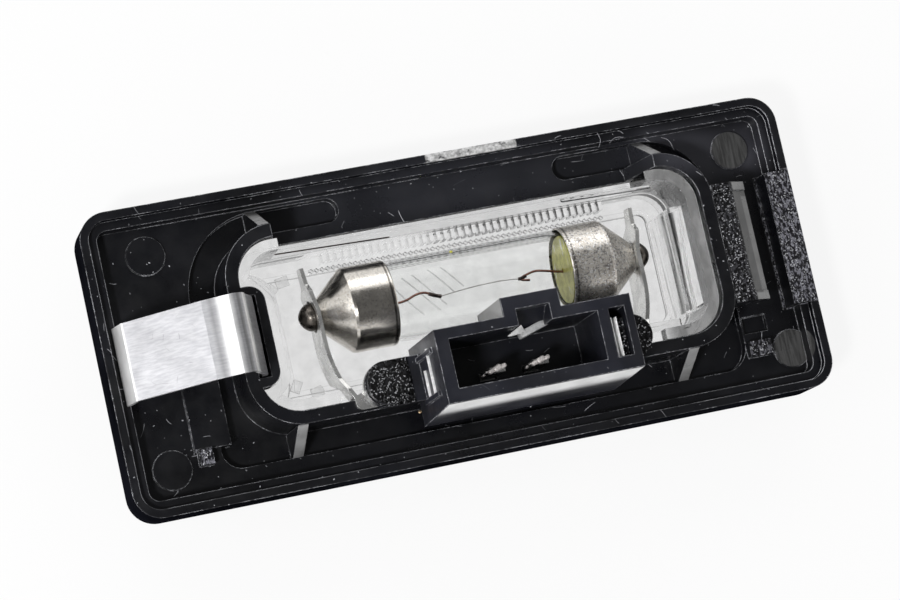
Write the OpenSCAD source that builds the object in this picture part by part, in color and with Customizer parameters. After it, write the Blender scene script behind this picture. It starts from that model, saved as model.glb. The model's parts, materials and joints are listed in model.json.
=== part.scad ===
// Number plate lamp, seen and laid with its back up and its lens down.
// X runs along the lamp, Y across it, Z from the lens face up to the connector mouth.
// The origin is in the plane of the lens face, below the middle of the plate.

/* [Plate] */
// Length of the plate
plate_l = 72.4; // [71:0.2:78]
// Width of the plate
plate_w = 30.4; // [30:0.2:34]
// Corner radius of the plate
plate_r = 2.8; // [2.5:0.1:5]
// Height of the plate's edge, front to back
plate_h = 5.3; // [4.8:0.1:6]
// Depth from the rim down to the floor
rim_depth = 2.8; // [2.2:0.1:3.2]
// Thickness of the rim
rim_t = 0.85; // [0.6:0.05:1.1]
// Width of the ledge inside the rim
ledge_t = 0.9; // [0.5:0.05:1.1]
// Drop from the rim to the ledge
ledge_drop = 0.9; // [0.5:0.1:1.4]
// Diameter of the ejector marks on the floor
ejector_d = 3.9; // [3:0.1:4.2]
// Height of the ejector marks
ejector_h = 0.2; // [0.1:0.05:0.4]

/* [Collar] */
// Room inside the collar beyond each tip of the bulb
end_room = 5.8; // [5.5:0.1:6.2]
// Width of the collar, outside
collar_w = 19.9; // [19.7:0.1:20.3]
// Wall thickness of the collar
collar_t = 1.3; // [1.1:0.05:1.4]
// Outside corner radius of the collar
collar_r = 5.2; // [4.6:0.1:5.6]
// Height of the collar above the floor
collar_h = 6.1; // [5.6:0.1:6.8]
// Offset of the collar along the plate
collar_x = 1.5; // [1.2:0.1:1.8]
// Offset of the collar across the plate
collar_y = 0.7; // [0.5:0.1:0.9]
// Length of the low stretch in the collar's upper wall
low_l = 37; // [34:0.5:38]
// Depth of the trough round the collar
trough_depth = 1.2; // [0.8:0.1:1.4]
// Width of the trough above and below the collar
trough_w = 2.45; // [2.2:0.05:2.6]
// Thickness of the four gussets
gusset_t = 1.05; // [0.8:0.05:1.4]

/* [Lens] */
// How far the lens stands proud of the plate's front
lens_proud = 3.2; // [2.6:0.1:4]
// Thickness of the lens window
window_t = 1.5; // [1.2:0.1:1.8]
// Wall thickness of the lens cup
lens_t = 1.1; // [0.9:0.05:1.2]
// Clearance between the lens cup and the collar
lens_gap = 0.12; // [0.05:0.01:0.2]
// Width of the flange that seats on the plate's front
lens_flange = 1.4; // [1:0.1:1.8]
// Thickness of that flange
lens_flange_t = 1; // [0.8:0.1:1.4]
// Pitch of the small prisms along the lens
prism_pitch = 0.75; // [0.7:0.05:1]

/* [Bulb] */
// Length of the bulb over its tips
bulb_l = 36; // [35.6:0.1:36.4]
// Diameter of the bulb's caps
cap_d = 8.5; // [8.2:0.05:8.7]
// Length of a cap
cap_l = 9; // [8.6:0.1:9.4]
// Diameter of the glass tube
glass_d = 8.1; // [7.8:0.05:8.15]
// Wall thickness of the glass tube
glass_t = 0.6; // [0.4:0.05:0.7]
// Offset of the bulb along the plate
bulb_x = 1.35; // [1.2:0.05:1.5]
// Offset of the bulb across the plate
bulb_y = 1.2; // [1:0.1:1.4]
// Height of the bulb's axis above the plate's floor
bulb_rise = 3.3; // [3.1:0.1:3.5]

/* [Connector] */
// Length of the connector
conn_l = 19.7; // [19.4:0.1:20]
// Width of the connector
conn_w = 7.2; // [7:0.1:7.4]
// Height of the connector
conn_h = 11.8; // [11:0.1:13]
// Wall thickness of the connector
conn_t = 1.25; // [1.1:0.05:1.35]
// Lean of the outer long wall from top to foot
conn_lean = 0.55; // [0.2:0.05:0.7]
// Depth of the connector's mouth
mouth_depth = 8.9; // [8:0.1:9]
// Width of the coding slot beside the mouth
slot_w = 1.6; // [1.3:0.1:1.7]
// Width of the key on the long wall
key_w = 5.75; // [5.4:0.1:6]
// How far the key stands out
key_out = 1.8; // [1.6:0.1:2]
// Distance between the two terminal blades
blade_pitch = 4.4; // [4:0.1:4.8]
// Width of a terminal blade
blade_w = 1.5; // [1.2:0.1:1.6]
// Thickness of a terminal blade
blade_t = 0.6; // [0.5:0.05:0.8]
// Diameter of the two bosses beside the connector
boss_d = 4.2; // [3.8:0.1:4.3]

/* [Contacts] */
// Thickness of the contact strip
strip_t = 0.4; // [0.3:0.05:0.5]
// Width of the contact strip
strip_w = 4.6; // [4.2:0.1:5.2]
// Diameter of the hole that takes the bulb's tip
tip_hole_d = 3.2; // [3.1:0.05:3.4]

/* [Spring clip] */
// Width of the spring clip
clip_w = 7.7; // [7.2:0.1:8]
// Sheet thickness of the spring clip
clip_t = 0.45; // [0.35:0.05:0.5]
// Height of the clip's shoulder above the collar
clip_rise = 4.9; // [4.6:0.1:6]
// Side clearance of the clip in its pocket
clip_gap = 0.2; // [0.15:0.05:0.3]

/* [Hidden] */
$fn = 48;
eps = 0.01;

// Heights, from the lens face up
z_front = lens_proud;
z_rim = z_front + plate_h;
z_floor = z_rim - rim_depth;
z_ledge = z_rim - ledge_drop;
z_trough = z_floor - trough_depth;
z_collar = z_floor + collar_h;
z_axis = z_floor + bulb_rise;

// Edges of the collar, outside and inside
collar_l = bulb_l + 2 * (end_room + collar_t);
col_x0 = collar_x - collar_l / 2;
col_x1 = collar_x + collar_l / 2;
col_y0 = collar_y - collar_w / 2;
col_y1 = collar_y + collar_w / 2;
in_x0 = col_x0 + collar_t;
in_x1 = col_x1 - collar_t;
in_y0 = col_y0 + collar_t;
in_y1 = col_y1 - collar_t;
in_r = collar_r - collar_t;

// The low stretch of the collar's upper wall, at the floor and at the collar's top
low_x0 = collar_x - 0.1 - low_l / 2;
low_x1 = low_x0 + low_l;
low_flare_left = 1.2;
low_flare_right = 1.7;

// The trough's outline and where it stops under the upper wall
trough_left = 2.8;
trough_right = 1.85;
tr_x0 = col_x0 - trough_left;
tr_x1 = col_x1 + trough_right;
tr_y0 = col_y0 - trough_w;
tr_y1 = col_y1 + trough_w;
trough_end_left = 6;
trough_end_right = 6;
tr_radii = [2, 2.5, 6.5, 8];

// The spring clip and its pocket inside the collar's left wall
pocket_wall = 0.95;
pocket_gap = 1.2;
pocket_y = -0.05;
pocket_w = clip_w + 2 * clip_gap;
pocket_x1 = in_x0 + pocket_gap;
pocket_out_x = pocket_x1 + pocket_wall;
pocket_out_r = 1.6;
pocket_floor = 1.6;
z_shoulder = z_collar + clip_rise;
clip_foot_in = 1.55;
clip_foot_h = 2.55;
foot_clear = 0.35;
foot_lean = 0.55;
shoulder_r = 1.2;
shoulder_back = 0.6;
leaf_share = 0.77;
leaf_crown = 0.45;

// The connector and its feet
conn_x = 2.95;
conn_x0 = conn_x - conn_l / 2;
conn_x1 = conn_x + conn_l / 2;
conn_y1 = -3.85;
conn_y0 = conn_y1 - conn_w;
z_foot = z_collar - 2.1;
z_mouth = z_foot + conn_h;
z_mouth_floor = z_mouth - mouth_depth;
seat_gap = 0.2;
mouth_x0 = conn_x0 + conn_t + 0.05;
slot_x1 = conn_x1 - conn_t + 0.45;
slot_x0 = slot_x1 - slot_w;
web_t = 1.1;
mouth_x1 = slot_x0 - web_t;
mouth_y0 = conn_y0 + conn_t + 0.05;
mouth_y1 = conn_y1 - conn_t + 0.15;
slot_depth = 6.5;
key_x0 = conn_x0 + 7.05;
key_wall = 1.3;
notch_depth = 4;
ear_w = 4.5;
ear_y = -7.1;
ear_t = 1;
left_boss_x = conn_x0 - 3.5;
right_boss_x = conn_x1 + 1.7;
boss_h = 0.7;
boss_room = 4.4;
z_ear = z_collar + strip_t;
z_ear_top = z_ear + ear_t;
rib_w = 0.5;

// Contact strips and blades
blade_x = (mouth_x0 + mouth_x1) / 2;
blade_y = -8.2;
blade_h = 4.3;
blade_gap = 0.1;
tail_y0 = -9;
tail_y1 = -7.4;
strip_z0 = z_axis - strip_w / 2;
strip_z1 = z_axis + strip_w / 2;
tip_stand = 1.5;
arm_x = bulb_l / 2 - tip_stand;
arm_root_x = arm_x - 2.6;
arm_bend_r = 12.5;
arm_bend_y = 2.7;
arm_bend_a = 30.3;
arm_end_y = 4.8;
arm_reach = 9.05;

// Bulb details
cone_l = 4.5;
cone_r = 3.95;
neck_r = 1.35;
neck_l = 1.55;
nose_r = 1.1;
cap_wall = 0.25;
glass_in_cap = 2.2;
glass_end = bulb_l / 2 - cap_l + glass_in_cap;
glass_gap = 0.03;
cement_l = 1.2;
solder_d = 1.3;
solder_h = 0.2;
solder_in = 0.5;
wire_d = 0.3;
wire_room = 1.5;
clamp_gap = 0.12;
clamp_d = 0.5;
clamp_l = 1.3;
filament_d = 0.16;
lead_l = 4.7;
filament_x = bulb_l / 2 - cap_l - lead_l;
wire_y = 0.35;
cap_edge = 0.08;
cap_lip = 0.12;
cap_shoulder = 0.4;
neck_flare = 0.3;
tip_in_x = 0.2;
tip_a0 = 20;
tip_a1 = 62;
cone_wall = 0.4;
cone_step = 0.9;
seat_l = 1.3;
wire_tip = 0.6;
wire_kink_x = 2.2;
wire_kink_y = 1.1;
wire_rise = 0.75;
wire_run = 0.7;

// Lens details
z_lens_top = z_collar - 0.9;
z_lens_low = z_floor - 0.25;
z_lens_bottom_wall = z_foot - 0.4;
cup_x0 = in_x0 + lens_gap;
cup_x1 = in_x1 - lens_gap;
cup_y0 = in_y0 + lens_gap;
cup_y1 = in_y1 - lens_gap;
cup_r = in_r - lens_gap;
prism_w = 0.42;
prism_out = 0.85;
prism_h = 2.2;
prism_x0 = low_x0 + 5;
prism_x1 = low_x1 - 1.8;
bead_in = 1.3;
bead_w = 0.5;
bead_h = 0.7;

// The fixed nose on the right and what lies round it
nose_y0 = -5.7;
nose_y1 = 6.5;
nose_flat = 1.9;
nose_out = 4;
nose_top = z_collar - 0.2;
nose_tip = z_rim + 1.5;
nose_under = z_rim + 0.9;
nose_rib_t = 0.9;
pad_x0 = plate_l / 2 - 2.6;
pad_y0 = -6.5;
pad_y1 = 7.2;

// Small rests and stops on the floor, and the places of the ejector marks from the edges
rest_x1 = col_x0 - 1.75;
rest_l = 3.7;
rest_h = 0.5;
stop_l = 2.4;
stop_h = 1.2;
stop_in = 0.9;
stop_gap = 1;
mark_y = 4.6;
left_mark_x = 6.4;
low_left_mark_x = 4.7;
right_mark_x = 4.7;
low_right_mark_x = 3;

// A rectangle between two corners with a radius at each corner, starting lower left, anticlockwise
module rounded(x0, y0, x1, y1, r) {
    difference() {
        translate([x0, y0]) square([x1 - x0, y1 - y0]);
        translate([x0 - eps, y0 - eps]) square([r[0] + eps, r[0] + eps]);
        translate([x1 - r[1], y0 - eps]) square([r[1] + eps, r[1] + eps]);
        translate([x1 - r[2], y1 - r[2]]) square([r[2] + eps, r[2] + eps]);
        translate([x0 - eps, y1 - r[3]]) square([r[3] + eps, r[3] + eps]);
    }
    translate([x0 + r[0], y0 + r[0]]) circle(r[0]);
    translate([x1 - r[1], y0 + r[1]]) circle(r[1]);
    translate([x1 - r[2], y1 - r[2]]) circle(r[2]);
    translate([x0 + r[3], y1 - r[3]]) circle(r[3]);
}

// A straight wall between two heights
module raise(z0, z1) {
    translate([0, 0, z0]) linear_extrude(z1 - z0) children();
}

// A box between two corners
module block(a, b) {
    translate(a) cube(b - a);
}

// An outline in X and Z, drawn out across the lamp from y0 to y1
module drawn_across(y0, y1) {
    translate([0, y1, 0]) rotate([90, 0, 0]) linear_extrude(y1 - y0) children();
}

// An outline in Y and Z, drawn out along the lamp from x0 to x1
module drawn_along(x0, x1) {
    translate([x0, 0, 0]) rotate([90, 0, 90]) linear_extrude(x1 - x0) children();
}

// Points on an arc about a centre
function arc(c, r, a0, a1, n) =
    [for (i = [0 : n]) let (a = a0 + (a1 - a0) * i / n) c + r * [cos(a), sin(a)]];

// The direction along a path at one of its points
function heading(p, i) =
    let (a = p[max(i - 1, 0)], b = p[min(i + 1, len(p) - 1)], d = b - a) d / norm(d);

// A path moved sideways by s
function beside(p, s) =
    [for (i = [0 : len(p) - 1]) let (h = heading(p, i)) p[i] + s * [-h[1], h[0]]];

// The section of a bent strip of thickness t about a path
module bent_strip(p, t) {
    a = beside(p, t / 2);
    b = beside(p, -t / 2);
    polygon(concat(a, [for (i = [len(b) - 1 : -1 : 0]) b[i]]));
}

module plate_outline(inset) {
    r = plate_r - inset;
    rounded(inset - plate_l / 2, inset - plate_w / 2, plate_l / 2 - inset, plate_w / 2 - inset,
            [r, r, r, r]);
}

module collar_outline() {
    rounded(col_x0, col_y0, col_x1, col_y1, [collar_r, collar_r, collar_r, collar_r]);
}

module collar_opening() {
    rounded(in_x0, in_y0, in_x1, in_y1, [in_r, in_r, in_r, in_r]);
}

// The clip's pocket seen from above, grown by a margin
module pocket_outline(grow) {
    half = pocket_w / 2 + pocket_wall + grow;
    r = pocket_out_r + grow;
    rounded(in_x0 - collar_t / 2, pocket_y - half, pocket_out_x + grow, pocket_y + half,
            [0.2, r, r, 0.2]);
}

// The trough round the collar, which stops under the low stretch with round ends
module trough_outline() {
    end_r = trough_w / 2;
    mid_y = col_y1 + end_r;
    x_left = low_x0 + trough_end_left;
    x_right = low_x1 - trough_end_right;
    difference() {
        rounded(tr_x0, tr_y0, tr_x1, tr_y1, tr_radii);
        collar_outline();
        translate([rest_x1 - rest_l, tr_y0 + trough_w]) square([rest_l, trough_w + clip_w]);
        difference() {
            translate([x_left, col_y1 - eps]) square([x_right - x_left, trough_w + 1]);
            translate([x_left, mid_y]) circle(end_r);
            translate([x_right, mid_y]) circle(end_r);
        }
    }
}

// One gusset: it leans from the collar's top down to the trough's far side
module gusset(x, side) {
    y_wall = side > 0 ? col_y1 - eps : col_y0 + eps;
    y_far = side > 0 ? tr_y1 : tr_y0;
    drawn_along(x - gusset_t / 2, x + gusset_t / 2)
        polygon([[y_wall, z_trough - eps], [y_far, z_trough - eps], [y_far, z_floor], [y_wall, z_collar]]);
}

// The nose that hooks behind the panel, with a rib at each end
module nose() {
    x = col_x1 - eps;
    drawn_across(nose_y0, nose_y1)
        polygon([[x, nose_under], [x + nose_out, nose_under], [x + nose_out, nose_tip],
                 [x + nose_flat, nose_top], [x, nose_top]]);
    for (y = [nose_y0, nose_y1 - nose_rib_t])
        drawn_across(y, y + nose_rib_t)
            polygon([[x, z_floor - eps], [x + nose_flat, z_floor - eps], [x + nose_flat, nose_under],
                     [x + nose_out, nose_under], [x + nose_out, nose_tip + 0.25],
                     [x + nose_flat, z_collar], [x, z_collar]]);
}

// Small pads and blocks that the mould leaves on the floor
module floor_details() {
    block([pad_x0, pad_y0, z_floor - eps], [plate_l / 2 - rim_t / 2, pad_y1, z_rim]);
    block([rest_x1 - rest_l, tr_y0 + trough_w, z_floor - eps],
          [rest_x1, pocket_y + clip_w / 2, z_floor + rest_h]);
    block([tr_x0 - stop_l, tr_y0 + stop_in, z_floor - eps],
          [tr_x0 - stop_gap, tr_y0 + trough_w, z_floor + stop_h]);
    block([tr_x1, tr_y0 + stop_in, z_floor - eps], [tr_x1 + stop_l, tr_y0 + trough_w, z_floor + stop_h]);
    for (p = [[-1, 1, left_mark_x], [-1, -1, low_left_mark_x], [1, 1, right_mark_x], [1, -1, low_right_mark_x]])
        translate([p[0] * (plate_l / 2 - p[2]), p[1] * (plate_w / 2 - mark_y), z_floor - eps])
            cylinder(d = ejector_d, h = ejector_h + eps);
}

// The cut that makes the collar's upper wall low, flaring towards the top
module low_cut() {
    drawn_across(in_y1 - 1, col_y1 + 1)
        polygon([[low_x0, z_floor], [low_x1, z_floor],
                 [low_x1 + low_flare_right, z_collar + 1], [low_x0 - low_flare_left, z_collar + 1]]);
}

module housing() {
    color("#17181a") {
        difference() {
            union() {
                difference() {
                    raise(z_front, z_rim) plate_outline(0);
                    raise(z_ledge, z_rim + 1) plate_outline(rim_t);
                    raise(z_floor, z_rim + 1) plate_outline(rim_t + ledge_t);
                }
                raise(z_front, z_collar) collar_outline();
                nose();
                floor_details();
            }
            raise(z_trough, z_floor + 1) trough_outline();
            // The opening for the lens, beside the pocket
            raise(z_front - 1, z_collar + 1) difference() {
                collar_opening();
                pocket_outline(0);
            }
            // The pocket that holds the spring clip's leg
            block([in_x0, pocket_y - pocket_w / 2, z_front + pocket_floor],
                  [pocket_x1, pocket_y + pocket_w / 2, z_collar + 1]);
            low_cut();
            // The seat of the contact carrier in the lower wall
            block([conn_x0 - seat_gap, col_y0 - 1, z_foot], [conn_x1 + seat_gap, in_y0 + 1, z_collar + 1]);
            // A shallow pocket in the floor below the nose
            block([tr_x1 + 0.2, nose_y0 - 2.6, z_floor - 0.6], [tr_x1 + 2.7, nose_y0 - 0.9, z_floor + 1]);
        }
        gusset(low_x0 - 1.65, 1);
        gusset(low_x1 + 1.9, 1);
        gusset(low_x0 - 1.95, -1);
        gusset(low_x1 + 1.3, -1);
    }
}

// The lens cup seen from above, at a distance inside its outer face
module cup_outline(inset) {
    r = cup_r - inset;
    difference() {
        rounded(cup_x0 + inset, cup_y0 + inset, cup_x1 - inset, cup_y1 - inset, [r, r, r, r]);
        pocket_outline(lens_gap + inset);
    }
}

// A small raised bead that follows the cup's wall
module bead() {
    raise(window_t - eps, window_t + bead_h) difference() {
        cup_outline(lens_t + bead_in);
        cup_outline(lens_t + bead_in + bead_w);
    }
}

// Two rows of small prisms along the upper wall
module prisms() {
    n = floor((prism_x1 - prism_x0) / prism_pitch);
    y_wall = cup_y1 - lens_t;
    for (i = [0 : n - 1])
        let (x = prism_x0 + i * prism_pitch)
            block([x, y_wall - prism_out, window_t - eps], [x + prism_w, y_wall + eps, window_t + prism_h]);
}

module lens() {
    color("#eef2f4", 0.45) {
        difference() {
            union() {
                raise(0, z_lens_top) cup_outline(0);
                raise(z_front - lens_flange_t, z_front)
                    rounded(in_x0 - lens_flange, in_y0 - lens_flange, in_x1 + lens_flange,
                            in_y1 + lens_flange, [collar_r, collar_r, collar_r, collar_r]);
            }
            raise(window_t, z_lens_top + 1) cup_outline(lens_t);
            // The wall is low under the collar's low stretch and under the contact carrier
            block([low_x0 - 0.5, cup_y1 - lens_t - 1, z_lens_low], [low_x1 + 0.5, cup_y1 + 1, z_lens_top + 1]);
            block([left_boss_x - boss_room, cup_y0 - 1, z_lens_bottom_wall],
                  [right_boss_x + boss_room, cup_y0 + lens_t + 1, z_lens_top + 1]);
        }
        bead();
        prisms();
    }
}

// One of the two flat ears beside the connector, with its boss
module ear(x, x_conn) {
    raise(z_ear, z_ear_top) {
        translate([x, ear_y]) circle(d = ear_w);
        translate([min(x, x_conn), ear_y - ear_w / 2]) square([abs(x_conn - x), ear_w]);
    }
    translate([x, ear_y, z_ear]) cylinder(d = boss_d, h = ear_t + boss_h);
}

// The outline of the connector's body from its end
module connector_section() {
    polygon([[conn_y1, z_foot], [conn_y1, z_mouth], [conn_y0, z_mouth], [conn_y0 - conn_lean, z_foot]]);
}

module contact_carrier() {
    color("#1b1c1e") difference() {
        union() {
            drawn_along(conn_x0, conn_x1) connector_section();
            block([key_x0, conn_y1 - eps, z_foot + 2], [key_x0 + key_w, conn_y1 + key_out, z_mouth]);
            ear(left_boss_x, conn_x0 + eps);
            ear(right_boss_x, conn_x1 - eps);
            // Two upright ribs on the end wall
            for (y = [conn_y1 - 1.6, conn_y0 + 1.4])
                block([conn_x0 - 0.3, y - rib_w / 2, z_ear_top], [conn_x0 + eps, y + rib_w / 2, z_mouth - 2]);
        }
        block([mouth_x0, mouth_y0, z_mouth_floor], [mouth_x1, mouth_y1, z_mouth + 1]);
        block([slot_x0, mouth_y0, z_mouth - slot_depth], [slot_x1, mouth_y1, z_mouth + 1]);
        // The notch in the key, which runs down a ramp into the mouth
        drawn_along(key_x0 + key_wall, key_x0 + key_w - key_wall + 0.2)
            polygon([[conn_y1 + key_out - key_wall, z_mouth + 1], [conn_y1 + key_out - key_wall, z_mouth - 1.5],
                     [mouth_y1 - eps, z_mouth - notch_depth], [mouth_y1 - eps, z_mouth + 1]]);
        // Room for the two contact tails and their blades
        tail_room(conn_x0 - 1, blade_x - blade_pitch / 2);
        tail_room(conn_x1 + 1, blade_x + blade_pitch / 2);
    }
}

// The slot for one tail, with the hole for its blade
module tail_room(x_out, x_blade) {
    reach = blade_w / 2 + blade_gap;
    x_in = x_out < x_blade ? x_blade + reach : x_blade - reach;
    block([min(x_out, x_in), tail_y0 - blade_gap, z_collar], [max(x_out, x_in), tail_y1 + blade_gap, z_ear]);
    block([x_blade - reach, blade_y - blade_t / 2 - blade_gap, z_collar],
          [x_blade + reach, blade_y + blade_t / 2 + blade_gap, z_mouth_floor + 1]);
}

// The clip's section: foot, sloping leaf, shoulder and the leg in the pocket
function clip_path() =
    let (toe = [clip_foot_in - plate_l / 2, z_ledge + foot_clear],
         knee = toe + [foot_lean, clip_foot_h],
         x_leg = in_x0 + pocket_gap / 2,
         c = [col_x0 - shoulder_back, z_shoulder - shoulder_r],
         turn = arc(c, shoulder_r, 120, 0, 7))
    concat([toe, knee, knee + leaf_share * (turn[0] - knee) + [0, leaf_crown]], turn,
           [[x_leg - 0.1, z_collar + 0.9], [x_leg, z_collar], [x_leg, z_front + pocket_floor + 0.3]]);

module spring_clip() {
    color("#c9cccf") drawn_across(pocket_y - clip_w / 2, pocket_y + clip_w / 2)
        bent_strip(clip_path(), clip_t);
}

// The path of a contact arm seen from above, for the left end of the bulb
function arm_path() =
    concat(arc([arm_bend_r - arm_x, -arm_bend_y], arm_bend_r, 180 + arm_bend_a, 180, 8),
           [[-arm_x, 0.3], [-arm_x - 0.35, 2.1], [-arm_x - 0.55, arm_end_y]]);

// The outline of a contact arm from the bulb's side: a raised root, the middle and a narrow end
module arm_side() {
    wall_y = cup_y0 + lens_t - bulb_y;
    polygon([[-arm_reach, z_foot - 0.2], [wall_y + 0.3, z_foot - 0.2], [wall_y + 1.2, strip_z0],
             [2.3, strip_z0], [3.1, z_axis - 0.8], [arm_end_y + 1, z_axis - 0.5],
             [arm_end_y + 1, z_axis + 0.8], [3.1, z_axis + 1.2], [2.3, strip_z1],
             [wall_y + 1.2, strip_z1], [wall_y, z_ear], [-arm_reach, z_ear]]);
}

// One contact in the place of the left one: tail, blade, and an arm with a hole for the bulb's tip
module contact(x_blade) {
    tail_x0 = bulb_x - arm_root_x - 1.1;
    raise(z_collar, z_ear) rounded(tail_x0, tail_y0, x_blade + blade_w / 2, tail_y1, [0.7, 0.1, 0.1, 0.7]);
    block([x_blade - blade_w / 2, blade_y - blade_t / 2, z_collar],
          [x_blade + blade_w / 2, blade_y + blade_t / 2, z_mouth_floor + blade_h]);
    translate([bulb_x, bulb_y, 0]) difference() {
        intersection() {
            raise(strip_z0 - 1, z_ear + 1) bent_strip(arm_path(), strip_t);
            drawn_along(-arm_x - 3, 0) arm_side();
        }
        translate([-arm_x - 3, 0, z_axis]) rotate([0, 90, 0]) cylinder(d = tip_hole_d, h = 6);
    }
}

module left_contact() {
    color("#b9bab4") contact(blade_x - blade_pitch / 2);
}

module right_contact() {
    color("#b9bab4") translate([2 * bulb_x, 0, 0]) mirror([1, 0, 0])
        contact(2 * bulb_x - blade_x - blade_pitch / 2);
}

// Places things on the bulb's axis, towards its right end, or its left end when side is -1
module on_axis(side) {
    translate([bulb_x, bulb_y, z_axis]) rotate([0, side * 90, 0]) children();
}

module bulb_glass() {
    color("#f2f4f2", 0.3) on_axis(1) difference() {
        translate([0, 0, -glass_end]) cylinder(d = glass_d, h = 2 * glass_end);
        translate([0, 0, -glass_end - 1]) cylinder(d = glass_d - 2 * glass_t, h = 2 * glass_end + 2);
    }
}

// The profile of a cap from its rim to its tip: radius, height along the axis
module cap_profile() {
    half = bulb_l / 2;
    r = cap_d / 2;
    rim = half - cap_l;
    polygon(concat(
        [[glass_d / 2 + glass_gap, rim], [r - cap_edge, rim], [r, rim + cap_lip]],
        [[r, half - cone_l - cap_shoulder], [r - cap_edge, half - cone_l - cap_lip]],
        [[cone_r, half - cone_l + cap_lip], [neck_r + neck_flare, half - neck_l - neck_flare]],
        [[neck_r, half - neck_l + cap_edge], [neck_r - cap_lip, half - neck_l + cap_shoulder]],
        arc([tip_in_x, half - nose_r], nose_r, tip_a0, tip_a1, 4),
        [[solder_d / 2, half], [solder_d / 2, half - solder_in], [neck_r - solder_in, half - neck_l]],
        [[cone_r - cone_wall - neck_flare, half - cone_l - cap_lip], [cone_r - cone_wall, half - cone_l - cone_step]],
        [[glass_d / 2 + glass_gap, half - cone_l - seat_l]]));
}

module cap(side) {
    color("#a9a49a") on_axis(side) rotate_extrude() cap_profile();
}

module left_cap() {
    cap(-1);
}

module right_cap() {
    cap(1);
}

// The ring of yellow cement inside the glass behind a cap's rim
module cement(side) {
    rim = bulb_l / 2 - cap_l;
    color("#b9ad3f") on_axis(side) translate([0, 0, rim + 0.1]) difference() {
        cylinder(d = glass_d - 2 * glass_t - 2 * glass_gap, h = cement_l);
        translate([0, 0, -1]) cylinder(d = wire_d * wire_room, h = cement_l + 2);
    }
}

module left_cement() {
    cement(-1);
}

module right_cement() {
    cement(1);
}

// The drop of solder that closes a tip
module solder(side) {
    color("#8f8f8c") on_axis(side) translate([0, 0, bulb_l / 2 - solder_in])
        cylinder(d = solder_d - glass_gap, h = solder_in + solder_h);
}

module left_solder() {
    solder(-1);
}

module right_solder() {
    solder(1);
}

// A wire through a list of points in the plane of the bulb's axis, as thick as it is wide
module wire(p, d) {
    raise(-d / 2, d / 2) bent_strip(p, d);
}

// The wire that carries one end of the filament: from the tip through the cement, with a kink
function support_path(side) =
    let (rim = bulb_l / 2 - cap_l, x_end = filament_x + clamp_l / 2 + clamp_gap)
    [[side * (bulb_l / 2 - wire_tip), 0], [side * (rim - cone_wall), 0],
     [side * (rim - wire_kink_x), wire_kink_y],
     [side * (x_end + wire_run), wire_y + wire_rise], [side * x_end, wire_y]];

module support_wire(side) {
    color("#a0613f") translate([bulb_x, bulb_y, z_axis]) wire(support_path(side), wire_d);
}

module left_support_wire() {
    support_wire(-1);
}

module right_support_wire() {
    support_wire(1);
}

// The small crimp where a support wire holds the filament
module filament_clamp(side) {
    color("#6d5a50") translate([bulb_x + side * filament_x, bulb_y + wire_y, z_axis]) rotate([0, 90, 0])
        translate([0, 0, -clamp_l / 2]) cylinder(d = clamp_d, h = clamp_l, $fn = 24);
}

module left_filament_clamp() {
    filament_clamp(-1);
}

module right_filament_clamp() {
    filament_clamp(1);
}

// The coiled filament between its clamps
module filament() {
    reach = filament_x - clamp_l / 2;
    color("#4a4744") translate([bulb_x, bulb_y + wire_y, z_axis]) rotate([0, 90, 0])
        translate([0, 0, -reach]) cylinder(d = filament_d, h = 2 * reach);
}

housing();
lens();
contact_carrier();
spring_clip();
left_contact();
right_contact();
bulb_glass();
left_cap();
right_cap();
left_cement();
right_cement();
left_solder();
right_solder();
left_support_wire();
right_support_wire();
left_filament_clamp();
right_filament_clamp();
filament();
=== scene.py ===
"""Number plate lamp, lying on its lens, dressed and lit for a product picture."""

import json
import math

import bpy
from mathutils import Matrix, Vector


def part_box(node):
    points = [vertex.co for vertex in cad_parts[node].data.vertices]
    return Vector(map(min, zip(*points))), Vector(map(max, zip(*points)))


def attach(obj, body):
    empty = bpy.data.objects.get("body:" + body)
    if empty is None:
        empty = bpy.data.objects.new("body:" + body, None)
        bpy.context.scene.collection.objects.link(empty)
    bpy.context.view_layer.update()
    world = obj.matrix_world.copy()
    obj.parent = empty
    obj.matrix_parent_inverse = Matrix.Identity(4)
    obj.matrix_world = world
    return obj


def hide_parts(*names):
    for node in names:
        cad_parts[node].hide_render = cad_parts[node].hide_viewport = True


MM = 0.001

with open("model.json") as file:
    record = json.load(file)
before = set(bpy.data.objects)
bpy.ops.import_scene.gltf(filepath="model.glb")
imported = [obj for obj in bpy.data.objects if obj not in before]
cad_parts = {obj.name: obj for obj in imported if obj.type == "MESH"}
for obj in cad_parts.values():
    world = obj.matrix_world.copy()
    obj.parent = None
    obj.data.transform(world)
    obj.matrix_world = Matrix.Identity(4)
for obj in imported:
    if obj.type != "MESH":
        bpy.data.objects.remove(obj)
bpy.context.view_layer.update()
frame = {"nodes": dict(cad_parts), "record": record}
nodes = frame["nodes"]


# Node helpers for materials

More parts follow.
